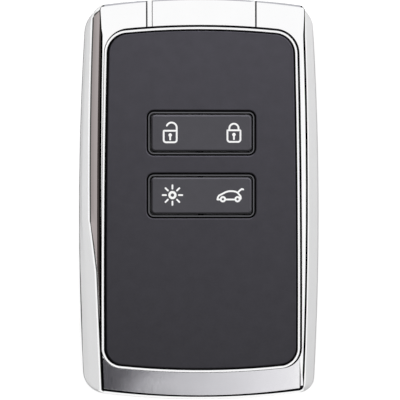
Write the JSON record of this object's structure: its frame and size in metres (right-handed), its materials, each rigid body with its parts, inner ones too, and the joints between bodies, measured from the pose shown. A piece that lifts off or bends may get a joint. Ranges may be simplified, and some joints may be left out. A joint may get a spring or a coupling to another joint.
{
  "type": "car key fob",
  "caption": "Keyless car key fob: bright bowed frame round a dark panel with rocker pads, a pull-out emergency key in the head end and a sliding battery cover on the back.",
  "frame": {"origin": "centre of the back face, under the middle of the body", "axes": "+X to the right of the face, +Y towards the emergency key, +Z out of the face"},
  "size_m": [0.0492, 0.082, 0.012],
  "materials": {
    "chrome_trim": "bright satin plating on metal",
    "key_chrome": "bright satin plating on metal",
    "panel_plastic": "fine soft grain",
    "button_plastic": "smooth matte with white printed signs",
    "guide_plastic": "smooth satin",
    "casing_plastic": "fine grain",
    "cover_plastic": "fine grain",
    "slider_plastic": "satin",
    "chassis_plastic": "as moulded",
    "carrier_plastic": "as moulded",
    "silicone": "translucent grey silicone",
    "board_laminate": "solder mask over glass laminate",
    "chip_resin": "moulded resin",
    "passive_ceramic": "fired chip parts",
    "switch_steel": "tinned",
    "plunger_plastic": "as moulded",
    "crystal_can": "plated can",
    "antenna_winding": "enamelled copper on ferrite",
    "cell_steel": "nickel plated",
    "contact_steel": "tinned spring strip",
    "spring_steel": "hardened strip",
    "blade_steel": "nickel plated, milled",
    "pin_steel": "ground",
    "screw_steel": "zinc plated"
  },
  "bodies": {
    "casing": {"battery_cell": "cell_steel", "board_passives": "passive_ceramic", "board_screws": "screw_steel", "button_guide": "guide_plastic", "chassis": "chassis_plastic", "chrome_frame": "chrome_trim", "circuit_board": "board_laminate", "controller_chip": "chip_resin", "crystal": "crystal_can", "face_contact": "contact_steel", "front_panel": "panel_plastic", "key_mat": "silicone", "lamp_switch": "switch_steel", "latch_spring": "spring_steel", "lock_switch": "switch_steel", "low_frequency_antenna": "antenna_winding", "panel_bezel": "chrome_trim", "radio_chip": "chip_resin", "rear_casing": "casing_plastic", "side_contact": "contact_steel", "tailgate_switch": "switch_steel", "transponder_coil": "antenna_winding", "unlock_switch": "switch_steel"},
    "lock_rocker": {"lock_rocker": "button_plastic"},
    "lamp_rocker": {"lamp_rocker": "button_plastic"},
    "unlock_plunger": {"unlock_plunger": "plunger_plastic"},
    "lock_plunger": {"lock_plunger": "plunger_plastic"},
    "lamp_plunger": {"lamp_plunger": "plunger_plastic"},
    "tailgate_plunger": {"tailgate_plunger": "plunger_plastic"},
    "emergency_key": {"key_head": "key_chrome", "key_carrier": "carrier_plastic", "key_blade": "blade_steel", "key_pin": "pin_steel"},
    "release_slider": {"release_slider": "slider_plastic"},
    "battery_cover": {"battery_cover": "cover_plastic"}
  },
  "joints": [
    {"name": "lock_rocker_tilt", "type": "hinge", "parent": "casing", "child": "lock_rocker", "pos_m": [0, 0.01355, 0.0094], "axis": [0, 1, 0], "range_deg": [-2.2, 2.2], "stiffness_Nm_per_rad": 0.3, "deforming": ["key_mat"]},
    {"name": "lamp_rocker_tilt", "type": "hinge", "parent": "casing", "child": "lamp_rocker", "pos_m": [0, 0.00075, 0.0094], "axis": [0, 1, 0], "range_deg": [-2.2, 2.2], "stiffness_Nm_per_rad": 0.3, "deforming": ["key_mat"]},
    {"name": "unlock_plunger_press", "type": "slide", "parent": "casing", "child": "unlock_plunger", "axis": [0, 0, -1], "range_m": [0, 0.00025], "stiffness_N_per_m": 800},
    {"name": "lock_plunger_press", "type": "slide", "parent": "casing", "child": "lock_plunger", "axis": [0, 0, -1], "range_m": [0, 0.00025], "stiffness_N_per_m": 800},
    {"name": "lamp_plunger_press", "type": "slide", "parent": "casing", "child": "lamp_plunger", "axis": [0, 0, -1], "range_m": [0, 0.00025], "stiffness_N_per_m": 800},
    {"name": "tailgate_plunger_press", "type": "slide", "parent": "casing", "child": "tailgate_plunger", "axis": [0, 0, -1], "range_m": [0, 0.00025], "stiffness_N_per_m": 800},
    {"name": "emergency_key_slide", "type": "slide", "parent": "casing", "child": "emergency_key", "axis": [0, 1, 0], "range_m": [0, 0.048], "deforming": ["latch_spring"]},
    {"name": "release_slide", "type": "slide", "parent": "casing", "child": "release_slider", "axis": [-1, 0, 0], "range_m": [0, 0.0015], "stiffness_N_per_m": 400, "deforming": ["latch_spring"]},
    {"name": "battery_cover_slide", "type": "slide", "parent": "casing", "child": "battery_cover", "axis": [0, -1, 0], "range_m": [0, 0.032]}
  ]
}
